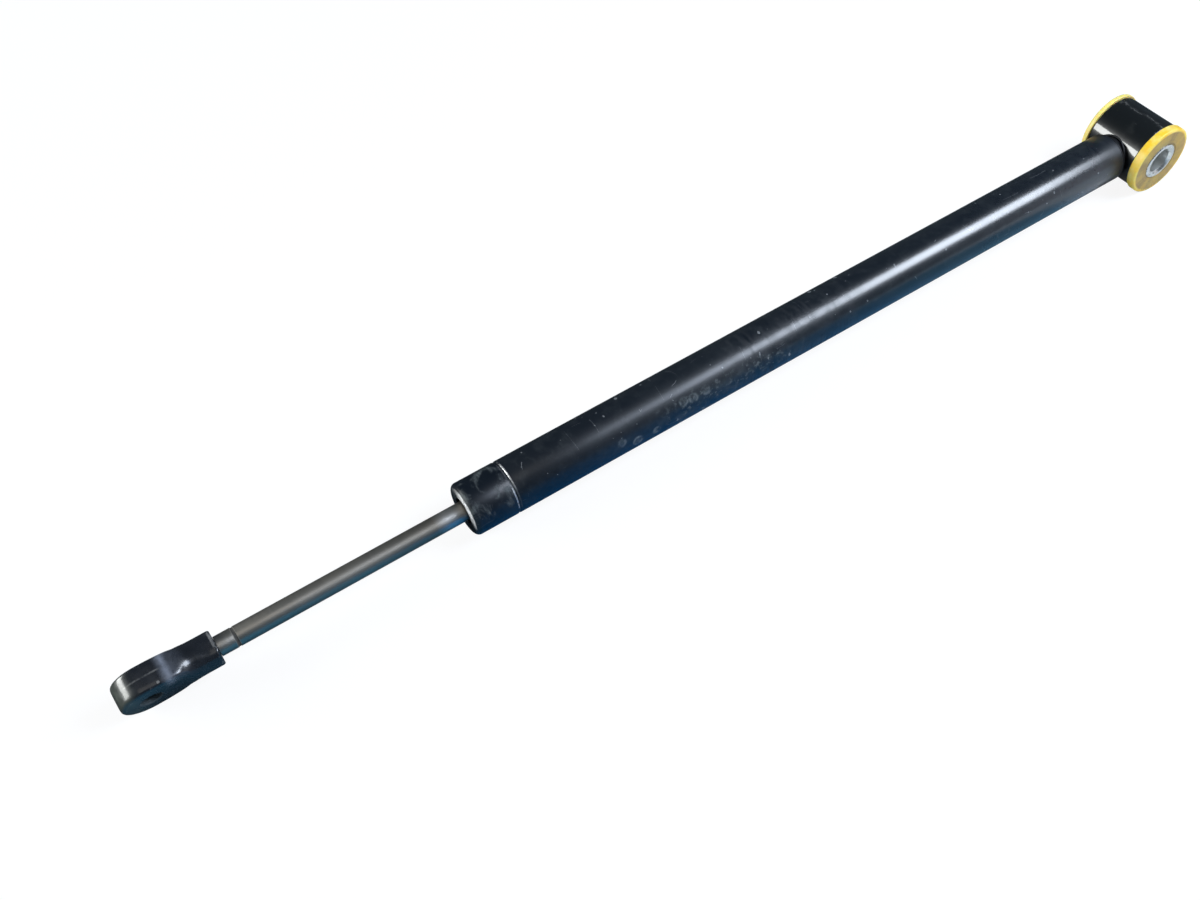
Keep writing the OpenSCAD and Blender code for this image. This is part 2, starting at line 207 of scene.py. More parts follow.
def newGroup(name, inputs, outputs):
    group = bpy.data.node_groups.new(name, "ShaderNodeTree")
    for socket, kind, value in inputs:
        made = group.interface.new_socket(socket, in_out="INPUT", socket_type=kind)
        if value is not None:
            made.default_value = value
    for socket, kind in outputs:
        group.interface.new_socket(socket, in_out="OUTPUT", socket_type=kind)
    return group, group.nodes.new("NodeGroupInput"), group.nodes.new("NodeGroupOutput")


def useGroup(tree, group, **feeds):
    return addNode(tree, "Group", feeds, node_tree=group).outputs[0]


def newMaterial(name, **shared):
    material = bpy.data.materials.new(name)
    material.use_nodes = True
    tree = material.node_tree
    shader = tree.nodes["Principled BSDF"]
    for socket, value in shared.items():
        shader.inputs[socket.replace("_", " ")].default_value = value
    return material, tree, shader, addNode(tree, "TexCoord").outputs["Object"]


def feedShader(tree, shader, colour, roughness, metallic, height, strength, distance):
    bump = addNode(tree, "Bump", {"Strength": strength, "Distance": distance, "Height": height})
    tree.links.new(colour, shader.inputs["Base Color"])
    tree.links.new(roughness, shader.inputs["Roughness"])
    tree.links.new(bump.outputs[0], shader.inputs["Normal"])
    if metallic is not None:
        tree.links.new(metallic, shader.inputs["Metallic"])


def buildSmudges():  # soft patches of dust and handling marks
    group, start, end = newGroup(
        "smudges",
        [("Vector", "NodeSocketVector", None), ("Scale", "NodeSocketFloat", 14.0),
         ("Coverage", "NodeSocketFloat", 0.4)],
        [("Mask", "NodeSocketFloat")])
    vector = start.outputs["Vector"]
    patches = noiseOf(group, vector, start.outputs["Scale"], 3.0, 0.55, 0.3)
    lowEdge = minus(group, 0.78, times(group, start.outputs["Coverage"], 0.5))
    patches = remap(group, patches, lowEdge, plus(group, lowEdge, 0.22))
    speckle = remap(group, noiseOf(group, vector, 260.0, 6.0, 0.7), 0.35, 0.7, 0.25, 1.0)
    group.links.new(times(group, patches, speckle), end.inputs["Mask"])
    return group


def buildChips():  # small irregular knocks in a few of many cells
    group, start, end = newGroup(
        "chips",
        [("Vector", "NodeSocketVector", None), ("Scale", "NodeSocketFloat", 160.0),
         ("Size", "NodeSocketFloat", 0.12), ("Amount", "NodeSocketFloat", 0.2)],
        [("Mask", "NodeSocketFloat")])
    vector = start.outputs["Vector"]
    ragged = noiseOf(group, vector, 900.0, 2.0)
    offset = addNode(group, "VectorMath", {0: (0.0008, 0.0006, 0.0007), "Scale": ragged},
                     operation="SCALE").outputs[0]
    shaken = addNode(group, "VectorMath", {0: vector, 1: offset}, operation="ADD").outputs[0]
    cells = addNode(group, "TexVoronoi", {"Vector": shaken, "Scale": start.outputs["Scale"]})
    luck = addNode(group, "SeparateColor", {0: cells.outputs["Color"]})
    chosen = calculate(group, "LESS_THAN", luck.outputs[0], start.outputs["Amount"])
    reach = times(group, start.outputs["Size"], luck.outputs[1])
    inside = calculate(group, "LESS_THAN", cells.outputs["Distance"], reach)
    group.links.new(times(group, chosen, inside), end.inputs["Mask"])
    return group


def buildScratches():  # thin contour lines of a stretched noise, broken into short strokes
    group, start, end = newGroup(
        "scratches",
        [("Vector", "NodeSocketVector", None), ("Scale", "NodeSocketFloat", 30.0),
         ("Width", "NodeSocketFloat", 0.004), ("Amount", "NodeSocketFloat", 0.4)],
        [("Mask", "NodeSocketFloat")])
    vector = start.outputs["Vector"]
    field = noiseOf(group, vector, start.outputs["Scale"], 1.0, 0.4)
    line = calculate(group, "LESS_THAN", apart(group, field, 0.5), start.outputs["Width"])
    breaks = noiseOf(group, vector, times(group, start.outputs["Scale"], 2.3), 2.0)
    limit = minus(group, 0.72, times(group, start.outputs["Amount"], 0.3))
    kept = calculate(group, "GREATER_THAN", breaks, limit)
    group.links.new(times(group, line, kept), end.inputs["Mask"])
    return group


def buildStationWear():  # a worn ring at one station, ragged and broken around its edge
    group, start, end = newGroup(
        "stationWear",
        [("Vector", "NodeSocketVector", None), ("Station", "NodeSocketFloat", 0.0),
         ("Centre", "NodeSocketFloat", 0.0), ("Width", "NodeSocketFloat", 0.0005),
         ("Broken", "NodeSocketFloat", 0.5)],
        [("Mask", "NodeSocketFloat")])
    vector = start.outputs["Vector"]
    away = apart(group, start.outputs["Station"], start.outputs["Centre"])
    away = calculate(group, "DIVIDE", away, start.outputs["Width"])
    ring = calculate(group, "SUBTRACT", 1.0, away, clamp=True)
    large = noiseOf(group, vector, 110.0, 3.0, 0.6)
    fine = noiseOf(group, vector, 900.0, 3.0, 0.6)
    rough = plus(group, times(group, large, 0.7), times(group, fine, 0.3))
    rough = minus(group, rough, times(group, start.outputs["Broken"], 0.3))
    worn = times(group, remap(group, ring, 0.0, 0.6), remap(group, rough, 0.28, 0.42))
    group.links.new(worn, end.inputs["Mask"])
    return group


def buildTurnedLines():  # fine rings from turning, for a vector scaled up along the piece's axis
    group, start, end = newGroup("turnedLines", [("Vector", "NodeSocketVector", None)],
                                 [("Lines", "NodeSocketFloat")])
    fine = noiseOf(group, start.outputs["Vector"], 1.0, 4.0, 0.65)
    group.links.new(fine, end.inputs["Lines"])
    return group


smudges = buildSmudges()
chips = buildChips()
scratches = buildScratches()
stationWear = buildStationWear()
turnedLines = buildTurnedLines()
print("shared effects built")


def buildTubePaint():
    look = {
        "paint": (0.0028, 0.0062, 0.0115, 1),
        "dust": (0.135, 0.155, 0.160, 1),
        "chip": (0.36, 0.38, 0.40, 1),
        "steel": (0.66, 0.67, 0.68, 1),
        # the lip's bare steel is coloured pure white, a painted highlight
        "lip": (1.0, 1.0, 1.0, 1),
        "glossEnd": 0.27,
        "dullEnd": 0.42,
        # stations along the axis or upward, each with its solid and its faded reach
        "dustPatch": (-0.312, 0.030, 0.080),
        "mottlePatch": (-0.306, 0.028, 0.046),
        "mottleBand": (0.0045, 0.0035, 0.0065),
        "dropRings": (-0.345, 0.022, 0.036),
        "rubbedPatch": (-0.262, 0.028, 0.050),
    }
    material, tree, shader, place = newMaterial("tubePaint", Coat_Roughness=0.25)
    along, sideways, upward = axesOf(tree, place)
    groove, mouth = strut["lockGroove"] * mm, strut["tubeMouth"] * mm
    # handling dust: a long patch low on the side, and a little everywhere
    film = useGroup(tree, smudges, Vector=place, Scale=90.0, Coverage=0.72)
    broad = useGroup(tree, smudges, Vector=place, Scale=30.0, Coverage=0.66)
    low = remap(tree, upward, 0.0070, 0.0110, 1.0, 0.22)
    zone = nearTo(tree, along, *look["dustPatch"], 0.32, 0.08)
    film = times(tree, zone, low, larger(tree, film, broad))
    mottle = remap(tree, noiseOf(tree, place, 300.0, 6.0, 0.72), 0.51, 0.64)
    lowBand = nearTo(tree, upward, *look["mottleBand"])
    midRun = nearTo(tree, along, *look["mottlePatch"])
    film = larger(tree, film, times(tree, lowBand, midRun, 0.75, mottle))
    # cloudy scuffs on the collar, between the rolled groove and the mouth
    tilted = stretched(tree, place, (1, 0.8, 0.8), turn=(0.4, 0, 0.7))
    slanted = stretched(tree, place, (1.6, 0.5, 0.5), turn=(0, 0, 0.5))
    scuff = times(tree, remap(tree, noiseOf(tree, tilted, 150.0, 6.0, 0.62, 0.6), 0.46, 0.66),
                  remap(tree, noiseOf(tree, slanted, 620.0, 4.0, 0.6), 0.34, 0.60, 0.25, 1.0),
                  remap(tree, along, groove + 0.0034, groove - 0.0026, 0.12, 1.0),
                  remap(tree, upward, 0.0010, 0.0075))
    film = larger(tree, film, times(tree, scuff, 0.80))
    # drying rings left by drops
    drops = addNode(tree, "TexVoronoi", {"Vector": place, "Scale": 105.0})
    luck = addNode(tree, "SeparateColor", {0: drops.outputs["Color"]}).outputs[0]
    ring = larger(tree, nearTo(tree, drops.outputs["Distance"], 0.24, 0.02, 0.11),
                  remap(tree, drops.outputs["Distance"], 0.24, 0.28, 0.45, 0.0))
    ring = times(tree, ring, calculate(tree, "GREATER_THAN", luck, 0.30),
                 nearTo(tree, along, *look["dropRings"]),
                 remap(tree, upward, 0.0075, 0.0100, 0.85, 0.0),
                 remap(tree, noiseOf(tree, place, 420.0, 3.0), 0.36, 0.56))
    # knocks, specks, short strokes and long drags
    knocks = useGroup(tree, chips, Vector=stretched(tree, place, (0.8, 0.5, 0.5)), Scale=210.0,
                      Size=0.18, Amount=0.22)
    specks = useGroup(tree, chips, Vector=place, Scale=420.0, Size=0.24,
                      Amount=remap(tree, along, -0.33, -0.38, 0.08, 0.22))
    crossing = stretched(tree, place, (4.0, 0.8, 0.8), turn=(0, 0, 0.35))
    strokes = useGroup(tree, scratches, Vector=crossing, Scale=26.0, Width=0.0022, Amount=0.3)
    lengthwise = stretched(tree, place, (0.3, 1.5, 1.5), turn=(0, 0, 0.06))
    drags = useGroup(tree, scratches, Vector=lengthwise, Scale=66.0, Width=0.0022, Amount=0.22)
    pastCollar = remap(tree, along, groove - 0.0036, groove - 0.0001, 0.12, 1.0)
    strokes = times(tree, larger(tree, strokes, drags), pastCollar)
    knocks = times(tree, larger(tree, knocks, specks), pastCollar)
    # the rolled groove is worn bright on one edge above and on the other edge below
    climb = plus(tree, times(tree, sideways, 0.72), times(tree, upward, 0.69))
    edges = [times(tree, useGroup(tree, stationWear, Vector=place, Station=along,
                                  Centre=groove + offset, Width=0.0005, Broken=broken),
                   remap(tree, climb, start, stop, 0.12, 1.0))
             for offset, broken, start, stop in ((-0.00070, 0.42, 0.0035, -0.0005),
                                                 (0.00075, 0.44, -0.0015, 0.0030))]
    worn = larger(tree, *edges)
    # the rolled lip is rubbed bare over its upper near part and painted over the rest; the bare part is
    # coloured pure white, which is a painted highlight on the steel
    nearTop = minus(tree, times(tree, upward, 0.90), times(tree, sideways, 0.43))
    lip = times(tree, remap(tree, along, mouth + 0.00005, mouth + 0.00035, 1.0, 0.0),
                remap(tree, nearTop, 0.0025, 0.0098),
                remap(tree, noiseOf(tree, place, 420.0, 4.0, 0.7), 0.35, 0.54, 0.25, 1.0),
                remap(tree, climb, 0.0065, 0.0105, 1.0, 0.45))
    colour = mixColour(tree, film, look["paint"], look["dust"])
    colour = mixColour(tree, ring, colour, look["dust"])
    colour = mixColour(tree, times(tree, strokes, 0.32), colour, look["chip"])
    colour = mixColour(tree, times(tree, knocks, 0.45), colour, look["chip"])
    colour = mixColour(tree, worn, colour, look["steel"])
    colour = mixColour(tree, lip, colour, look["lip"])
    # the paint is glossier toward the bushed eye, rubbed dull in one patch, and bare where worn
    drawn = useGroup(tree, turnedLines, Vector=stretched(tree, place, (420, 60, 60)))
    rubbed = times(tree, nearTo(tree, along, *look["rubbedPatch"]),
                   remap(tree, noiseOf(tree, place, 120.0, 3.0), 0.38, 0.58, 0.15, 1.0))
    roughness = plus(tree, remap(tree, along, -0.40, -0.13, look["dullEnd"], look["glossEnd"]),
                     times(tree, film, 0.4),
                     times(tree, rubbed, remap(tree, drawn, 0.36, 0.62, -0.05, 0.30)),
                     remap(tree, along, -0.038, -0.024, 0.0, 0.16))
    bare = larger(tree, worn, lip, remap(tree, along, -0.041, -0.025))
    coat = times(tree, remap(tree, along, -0.37, -0.16, 0.2, 1.0),
                 remap(tree, larger(tree, film, knocks), 0.0, 0.5, 1.0, 0.2),
                 calculate(tree, "SUBTRACT", 1.0, bare, clamp=True))
    mirrored = remap(tree, along, groove - 0.0026, groove + 0.0034, 0.26, 0.5)
    tree.links.new(coat, shader.inputs["Coat Weight"])
    tree.links.new(mirrored, shader.inputs["Specular IOR Level"])
    height = plus(tree, times(tree, noiseOf(tree, place, 520.0, 2.0), 0.3), times(tree, drawn, rubbed))
    height = minus(tree, height, times(tree, larger(tree, knocks, strokes), 0.8))
    metal = larger(tree, worn, times(tree, lip, 0.25))
    feedShader(tree, shader, colour, roughness, metal, height, 0.22, 0.00012)
    return material


def buildEyePaint():
    look = {
        "paint": (0.0065, 0.0085, 0.0125, 1),
        "dust": (0.080, 0.092, 0.110, 1),
        # greenish dust toward the tip, partly a painted sheen beside the tip's highlight
        "film": (0.110, 0.125, 0.100, 1),
        # the lighter colour of the painted highlight at the waist
        "rubbed": (0.31, 0.34, 0.41, 1),
        "boreWearAndPaintedLight": (0.060, 0.080, 0.090, 1),
        "chip": (0.46, 0.46, 0.45, 1),
        "waistHighlight": -0.6078,  # where a highlight is painted on the hollow between the neck and the round end, in a lighter rubbed colour
        "endEdge": -0.5853,  # the worn edge beside the rod
        "rimEdge": 0.0058,  # the worn edge of each flat, from the middle
        "scratchLine": 0.0003,
    }
    material, tree, shader, place = newMaterial("eyePaint", Coat_Roughness=0.13)
    level = stretched(tree, place, (1, 1, 1), turn=(math.radians(-strut["eyeTurn"]), 0, 0))
    along, across, upward = axesOf(tree, level)
    rimWear = useGroup(tree, stationWear, Vector=place, Station=calculate(tree, "ABSOLUTE", across),
                       Centre=look["rimEdge"], Width=0.0009, Broken=1.0)
    endWear = useGroup(tree, stationWear, Vector=place, Station=along, Centre=look["endEdge"],
                       Width=0.0009, Broken=0.66)
    waistHighlight = calculate(tree, "POWER", nearTo(tree, along, look["waistHighlight"], 0.0, 0.0040), 1.4)
    towardNeck = times(tree, 0.30, calculate(tree, "GREATER_THAN", along, look["waistHighlight"]),
                       remap(tree, along, -0.5980, -0.6075))
    waistHighlight = times(tree, larger(tree, waistHighlight, towardNeck),
                  remap(tree, noiseOf(tree, place, 210.0, 5.0, 0.65), 0.30, 0.62, 0.35, 1.0),
                  remap(tree, upward, 0.004, 0.009))
    dragged = useGroup(tree, stationWear, Vector=place, Station=across, Centre=look["scratchLine"],
                       Width=0.0005, Broken=0.52)
    dragged = times(tree, dragged, remap(tree, along, -0.6115, -0.6090, 1.0, 0.0),
                    remap(tree, upward, 0.0095, 0.0110))
    # a dust film over the paint, stronger toward the tip, where its greenish tone is also a painted
    # sheen
    film = useGroup(tree, smudges, Vector=place, Scale=90.0, Coverage=0.8)
    film = times(tree, plus(tree, times(tree, film, 0.6), 0.3),
                 remap(tree, along, -0.6275, -0.6215, 1.0, 0.25))
    knocks = useGroup(tree, chips, Vector=place, Scale=240.0, Size=0.17, Amount=0.12)
    strokes = useGroup(tree, scratches, Vector=place, Scale=60.0, Width=0.0022, Amount=0.2)
    marks = larger(tree, times(tree, knocks, 0.5), times(tree, strokes, 0.3),
                   times(tree, dragged, 0.35), times(tree, rimWear, 0.4), times(tree, endWear, 0.8))
    dustAndTipSheen = mixColour(tree, remap(tree, along, -0.6260, -0.6200), look["film"], look["dust"])
    colour = mixColour(tree, times(tree, film, 0.7), look["paint"], dustAndTipSheen)
    # painted highlight on the waist's hollow
    colour = mixColour(tree, times(tree, waistHighlight, 0.85), colour, look["rubbed"])
    colour = mixColour(tree, marks, colour, look["chip"])
    # the bore's wall is dull where the pin has rubbed it, and its lighter grey is painted light that
    # lifts the bore's shade
    pastPin = plus(tree, along, -strut["flatEye"] * mm)
    fromPin = lengthOf(tree, addNode(tree, "CombineXYZ", {0: pastPin, 2: upward}).outputs[0])
    boreWearAndPaintedLight = remap(tree, fromPin, 0.0058, 0.0053)
    colour = mixColour(tree, boreWearAndPaintedLight, colour, look["boreWearAndPaintedLight"])
    tree.links.new(remap(tree, boreWearAndPaintedLight, 0.0, 1.0, 0.55, 0.0), shader.inputs["Coat Weight"])
    cast = noiseOf(tree, place, 260.0, 4.0, 0.6)
    ripple = noiseOf(tree, place, 95.0, 2.0)
    roughness = plus(tree, remap(tree, cast, 0.3, 0.7, 0.20, 0.30), times(tree, film, 0.2),
                     times(tree, boreWearAndPaintedLight, 0.35))
    height = plus(tree, times(tree, cast, 0.35), times(tree, ripple, 1.2))
    height = minus(tree, height, times(tree, knocks, 0.5))
    feedShader(tree, shader, colour, roughness, times(tree, marks, 0.6), height, 0.3, 0.0002)
    return material


def buildBarrelPaint():
    look = {"paint": (0.0030, 0.0042, 0.0048, 1), "dust": (0.062, 0.066, 0.062, 1),
            "scratch": (0.30, 0.30, 0.29, 1), "onTop": 0.015}
    material, tree, shader, place = newMaterial("barrelPaint", Coat_Weight=1.0, Coat_Roughness=0.045)
    along, sideways, upward = axesOf(tree, place)
    film = useGroup(tree, smudges, Vector=place, Scale=70.0, Coverage=0.5)
    # one long scratch wanders over the top, with a smear beside it toward the far end
    swing = noiseOf(tree, stretched(tree, place, (0, 1, 0)), 75.0, 5.0, 0.6)
    shake = noiseOf(tree, place, 900.0, 3.0)
    wander = plus(tree, remap(tree, swing, 0.3, 0.7, -0.0014, 0.0026),
                  remap(tree, shake, 0.3, 0.7, -0.0004, 0.0004))
    dragged = times(tree, nearTo(tree, along, wander, 0.00005, 0.00045),
                    remap(tree, noiseOf(tree, place, 500.0, 4.0, 0.7), 0.40, 0.62))
    smear = times(tree, nearTo(tree, along, wander, 0.0003, 0.0022),
                  remap(tree, noiseOf(tree, place, 480.0, 6.0, 0.75), 0.46, 0.66),
                  remap(tree, sideways, 0.009, 0.0135, 0.22, 0.9))
    dragged = times(tree, larger(tree, dragged, smear),
                    calculate(tree, "GREATER_THAN", upward, look["onTop"]))
    strokes = useGroup(tree, scratches, Vector=place, Scale=70.0, Width=0.0022, Amount=0.2)
    lines = larger(tree, times(tree, dragged, 0.55), times(tree, strokes, 0.25))
    colour = mixColour(tree, times(tree, film, 0.3), look["paint"], look["dust"])
    colour = mixColour(tree, lines, colour, look["scratch"])
    roughness = plus(tree, times(tree, film, 0.2), remap(tree, lines, 0.0, 1.0, 0.31, 0.5))
    height = minus(tree, noiseOf(tree, place, 260.0, 2.0), times(tree, lines, 0.6))
    feedShader(tree, shader, colour, roughness, None, height, 0.10, 0.0002)
    return material


def buildUrethane():
    look = {
        "amber": (1.0, 0.63, 0.035, 1),
        # pale tones, also used as painted light on the far half
        "pale": (1.0, 0.83, 0.27, 1),
        "darkBrown": (0.20, 0.135, 0.06, 1),
        "grey": (0.285, 0.178, 0.072, 1),
        "brown": (0.58, 0.30, 0.08, 1),
    }
    material, tree, shader, place = newMaterial(
        "urethane", Subsurface_Weight=0.3, Subsurface_Radius=(0.9, 0.5, 0.12),
        Subsurface_Scale=0.003, Specular_IOR_Level=0.45)
    along, sideways, upward = axesOf(tree, place)
    acrossPin = stretched(tree, place, (1, 0, 1))
    fromAxis = lengthOf(tree, acrossPin)
    fromMiddle = calculate(tree, "ABSOLUTE", sideways)
    face = times(tree, remap(tree, fromMiddle, 0.0190, 0.0194),
                 remap(tree, fromAxis, 0.0196, 0.0186))
    grime = noiseOf(tree, place, 140.0, 6.0, 0.65)
    fineGrime = noiseOf(tree, place, 800.0, 4.0, 0.7)
    film = remap(tree, plus(tree, times(tree, grime, 0.7), times(tree, fineGrime, 0.3)), 0.38, 0.68)
    # the far half is painted paler than the near half: painted light
    paintedLightFarSide = remap(tree, sideways, 0.0, 0.004)
    paleTonesAndFarSideLight = larger(tree, remap(tree, grime, 0.40, 0.66, 0.0, 0.8), times(tree, paintedLightFarSide, 0.85))
    colour = mixColour(tree, paleTonesAndFarSideLight, look["amber"], look["pale"])
    # grime wiped outward over the face leaves broad sectors and faint arcs
    outward = addNode(tree, "VectorMath", {0: acrossPin}, operation="NORMALIZE").outputs[0]
    sectors = remap(tree, noiseOf(tree, outward, 2.6, 4.0, 0.6), 0.36, 0.62)
    around = addNode(tree, "CombineXYZ", {0: times(tree, fromAxis, 900.0), 1: sectors}).outputs[0]
    arcs = noiseOf(tree, around, 1.0, 3.0, 0.6)
    wiped = plus(tree, times(tree, sectors, 0.55), remap(tree, arcs, 0.35, 0.65, 0.0, 0.25))
    wiped = calculate(tree, "ADD", wiped, times(tree, film, 0.25), clamp=True)
    wiped = times(tree, face, remap(tree, wiped, 0.0, 1.0, 0.50, 0.98))
    colour = mixColour(tree, wiped, colour, look["grey"])
    # dirt browns the end and lies in a patch below; the face is also darker around the sleeve and in
    # the flange's crease
    ringed = times(tree, face, remap(tree, fromAxis, 0.0128, 0.0108), 0.55)
    browned = times(tree, remap(tree, along, 0.009, 0.018), remap(tree, grime, 0.42, 0.62), 0.5)
    patch = times(tree, remap(tree, upward, -0.012, -0.019), remap(tree, fineGrime, 0.45, 0.6), 0.6)
    crease = times(tree, remap(tree, fromMiddle, 0.0168, 0.0163), 0.7)
    for mask, tone in ((ringed, "darkBrown"), (browned, "brown"), (patch, "darkBrown"), (crease, "darkBrown")):
        colour = mixColour(tree, mask, colour, look[tone])
    roughness = remap(tree, film, 0.0, 1.0, 0.34, 0.58)
    feedShader(tree, shader, colour, roughness, None, film, 0.2, 0.0002)
    return material


def buildZinc():
    look = {"zinc": (0.93, 0.92, 0.86, 1), "dull": (0.46, 0.47, 0.46, 1)}
    material, tree, shader, place = newMaterial("zincPlate")
    clouds = remap(tree, noiseOf(tree, place, 180.0, 5.0, 0.6), 0.38, 0.75)
    rings = noiseOf(tree, stretched(tree, place, (1, 1500, 1)), 1.0, 3.0)
    fromAxis = lengthOf(tree, stretched(tree, place, (1, 0, 1)))
    outward = addNode(tree, "CombineXYZ", {0: times(tree, fromAxis, 3000.0)}).outputs[0]
    faced = noiseOf(tree, outward, 1.0, 3.0)
    inside = remap(tree, fromAxis, 0.0075, 0.0073)  # painted shade darkens the bore, which is also rougher than the turned ends
    colour = mixColour(tree, larger(tree, clouds, times(tree, inside, 0.7)), look["zinc"], look["dull"])
    roughness = larger(tree, remap(tree, clouds, 0.0, 1.0, 0.22, 0.38), times(tree, inside, 0.36))
    height = plus(tree, times(tree, rings, 0.5), times(tree, faced, 0.5))
    metal = remap(tree, clouds, 0.0, 1.0, 1.0, 0.9)
    feedShader(tree, shader, colour, roughness, metal, height, 0.15, 0.0001)
    return material


def buildRodSteel():
    look = {"steel": (0.47, 0.445, 0.40, 1), "stain": (0.34, 0.315, 0.275, 1),
            # the groove colour is painted shade
            "bright": (0.75, 0.75, 0.74, 1), "groove": (0.02, 0.02, 0.02, 1),
            "oily": (0.27, 0.24, 0.20, 1), "brightPatch": -0.4645, "nick": -0.4975}
    material, tree, shader, place = newMaterial("rodSteel")
    along = axesOf(tree, place)[0]
    stain = noiseOf(tree, stretched(tree, place, (28, 130, 130)), 1.0, 5.0, 0.6)
    stain = remap(tree, stain, 0.35, 0.7)
    patch = nearTo(tree, along, look["brightPatch"], 0.002, 0.008, 0.5)
    drags = useGroup(tree, scratches, Vector=stretched(tree, place, (0.25, 1.6, 1.6)), Scale=80.0,
                     Width=0.005, Amount=0.3)
    nick = useGroup(tree, stationWear, Vector=place, Station=along, Centre=look["nick"],
                    Width=0.0006, Broken=0.7)
    # painted shade darkens the mark groove, which is also rougher and less metallic
    grooveShade = nearTo(tree, along, strut["markGroove"] * mm, 0.0006, 0.0010)
    colour = mixColour(tree, stain, look["steel"], look["stain"])
    colour = mixColour(tree, remap(tree, along, -0.515, -0.470, 0.0, 0.7), colour, look["oily"])
    colour = mixColour(tree, times(tree, drags, 0.25), colour, look["bright"])
    colour = mixColour(tree, larger(tree, patch, times(tree, nick, 0.7)), colour, look["bright"])
    # the groove's near black is painted shade
    colour = mixColour(tree, times(tree, grooveShade, 0.85), colour, look["groove"])
    ground = useGroup(tree, turnedLines, Vector=stretched(tree, place, (1500, 90, 90)))
    roughness = plus(tree, remap(tree, stain, 0.0, 1.0, 0.40, 0.52),
                     remap(tree, ground, 0.3, 0.7, -0.03, 0.05), times(tree, grooveShade, 0.3))
    metal = remap(tree, grooveShade, 0.0, 1.0, 1.0, 0.3)
    feedShader(tree, shader, colour, roughness, metal, ground, 0.08, 0.00006)
    return material


def buildPlainFinish(name, base, second, metallic, roughness, grain, lines=0.0, **shared):
    material, tree, shader, place = newMaterial(name, Metallic=metallic, **shared)
    clouds = remap(tree, noiseOf(tree, place, grain, 5.0, 0.6), 0.35, 0.68)
    colour = mixColour(tree, clouds, base, second)
    rough = remap(tree, clouds, 0.0, 1.0, roughness[0], roughness[1])
    height = noiseOf(tree, place, grain * 4, 4.0, 0.6)
    if lines:
        turned = useGroup(tree, turnedLines, Vector=stretched(tree, place, (lines, 30, 30)))
        height = plus(tree, times(tree, turned, 0.8), times(tree, height, 0.2))
    feedShader(tree, shader, colour, rough, None, height, 0.2, 0.0001)
    return material


tubePaint = buildTubePaint()
eyePaint = buildEyePaint()
barrelPaint = buildBarrelPaint()
urethane = buildUrethane()
zincPlate = buildZinc()
rodSteel = buildRodSteel()
weldPaint = buildPlainFinish("weldPaint", (0.004, 0.005, 0.007, 1), (0.014, 0.015, 0.016, 1), 0.0,
                             (0.42, 0.6), 300.0, Specular_IOR_Level=0.35)
guideAlloy = buildPlainFinish("guideAlloy", (0.60, 0.61, 0.63, 1), (0.42, 0.43, 0.45, 1), 1.0,
                              (0.3, 0.42), 160.0, lines=1500.0)
bushBronze = buildPlainFinish("bushBronze", (0.52, 0.31, 0.13, 1), (0.36, 0.2, 0.09, 1), 1.0,
                              (0.32, 0.45), 240.0, lines=1800.0)
sealRubber = buildPlainFinish("sealRubber", (0.018, 0.018, 0.02, 1), (0.035, 0.034, 0.034, 1), 0.0,
                              (0.45, 0.65), 420.0)
washerSteel = buildPlainFinish("washerSteel", (0.52, 0.53, 0.54, 1), (0.36, 0.36, 0.37, 1), 1.0,
                               (0.28, 0.42), 260.0, lines=1600.0)
pistonSteel = buildPlainFinish("pistonSteel", (0.30, 0.31, 0.33, 1), (0.20, 0.20, 0.21, 1), 1.0,
                               (0.4, 0.55), 520.0)
ringPlastic = buildPlainFinish("ringPlastic", (0.70, 0.66, 0.57, 1), (0.58, 0.53, 0.43, 1), 0.0,
                               (0.35, 0.5), 300.0)
bufferPlastic = buildPlainFinish("bufferPlastic", (0.045, 0.045, 0.05, 1), (0.07, 0.07, 0.072, 1),
                                 0.0, (0.4, 0.55), 350.0)
nodeFinishes = {
    "pressure_tube": tubePaint, "base_plug": weldPaint, "base_weld": weldPaint,
    "barrel_weld": weldPaint, "eye_barrel": barrelPaint, "bush_near": urethane,
    "bush_far": urethane, "eye_sleeve": zincPlate, "rod_guide": guideAlloy,
    "guide_bush": bushBronze, "rod_seal": sealRubber, "guide_o_ring": sealRubber,
    "rod_wiper": sealRubber, "seal_washer": washerSteel, "seal_snap_ring": washerSteel,
    "front_washer": washerSteel, "valve_disc": washerSteel, "rear_washer": washerSteel,
    "piston_nut": washerSteel, "piston": pistonSteel, "piston_ring": ringPlastic,
    "extension_buffer": bufferPlastic, "piston_rod": rodSteel, "rod_eye": eyePaint,
}
for nodeName, finish in nodeFinishes.items():
    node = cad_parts[nodeName]
    node.data.materials.clear()
    node.data.materials.append(finish)
print("finishes built and put on", len(nodeFinishes), "nodes")


